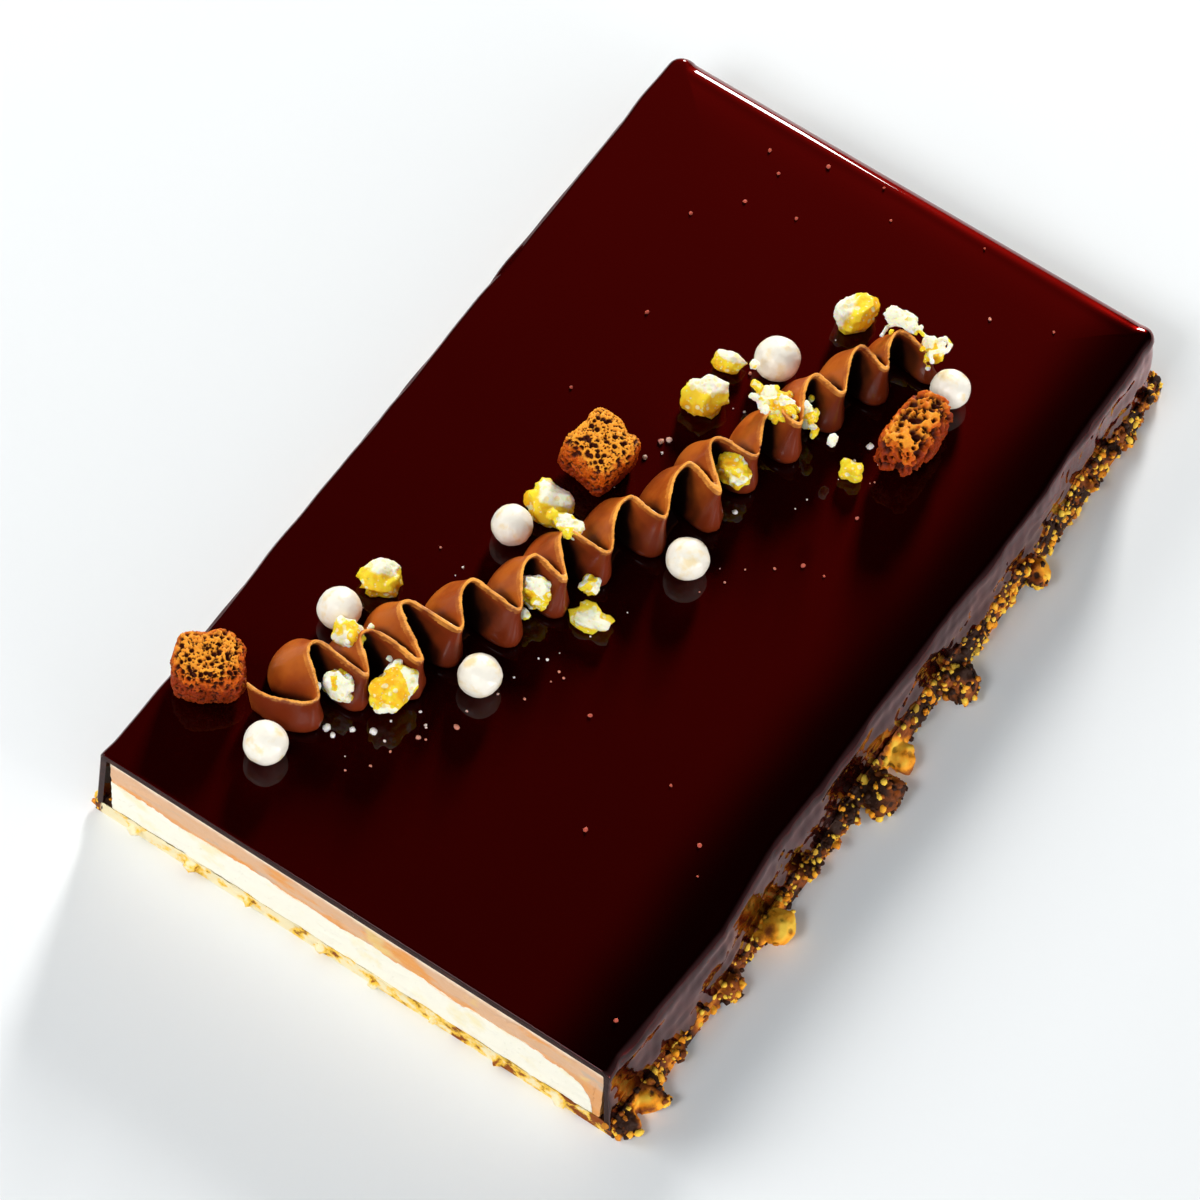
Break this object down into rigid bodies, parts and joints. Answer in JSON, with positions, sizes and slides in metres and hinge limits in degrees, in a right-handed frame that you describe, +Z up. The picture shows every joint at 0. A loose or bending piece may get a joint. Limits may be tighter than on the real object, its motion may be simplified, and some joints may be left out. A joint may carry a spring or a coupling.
{
  "type": "mini chocolate cake",
  "caption": "Small oblong mousse cake under a dark mirror glaze, cut clean at one short side, topped with a piped ganache ruffle, sugar pearls and honeycomb pieces.",
  "frame": {"origin": "centre of the slab's underside, on the surface that the cake stands on", "axes": "+X along the short side, +Y along the long side away from the cut face, +Z up"},
  "size_m": [0.0902, 0.146, 0.0276],
  "materials": {
    "glaze": "poured mirror glaze of dark chocolate, very glossy",
    "mousse": "set milk chocolate mousse, cut face, satin with fine bubbles",
    "cream": "set vanilla cream, cut face, satin with fine bubbles",
    "biscuit": "golden brown biscuit crumb, dry and rough",
    "ganache": "piped milk chocolate ganache, satin, with golden flakes lodged in it",
    "pearl": "sugar coated crisp pearl, eggshell",
    "honeycomb": "aerated caramel honeycomb, rough and porous",
    "nugget": "pale golden caramel crumb, rough, with sugared white spots"
  },
  "bodies": {
    "root": {"biscuit_base": "biscuit", "cream_layer": "cream", "mousse_layer": "mousse", "glaze": "glaze", "ganache_ribbon": "ganache", "honeycomb_1": "honeycomb", "honeycomb_2": "honeycomb", "honeycomb_3": "honeycomb", "nugget_1": "nugget", "nugget_2": "nugget", "nugget_3": "nugget", "nugget_4": "nugget", "nugget_5": "nugget", "nugget_6": "nugget", "nugget_7": "nugget", "pearl_1": "pearl", "pearl_2": "pearl", "pearl_3": "pearl", "pearl_4": "pearl", "pearl_5": "pearl", "pearl_6": "pearl", "pearl_7": "pearl"}
  },
  "joints": []
}
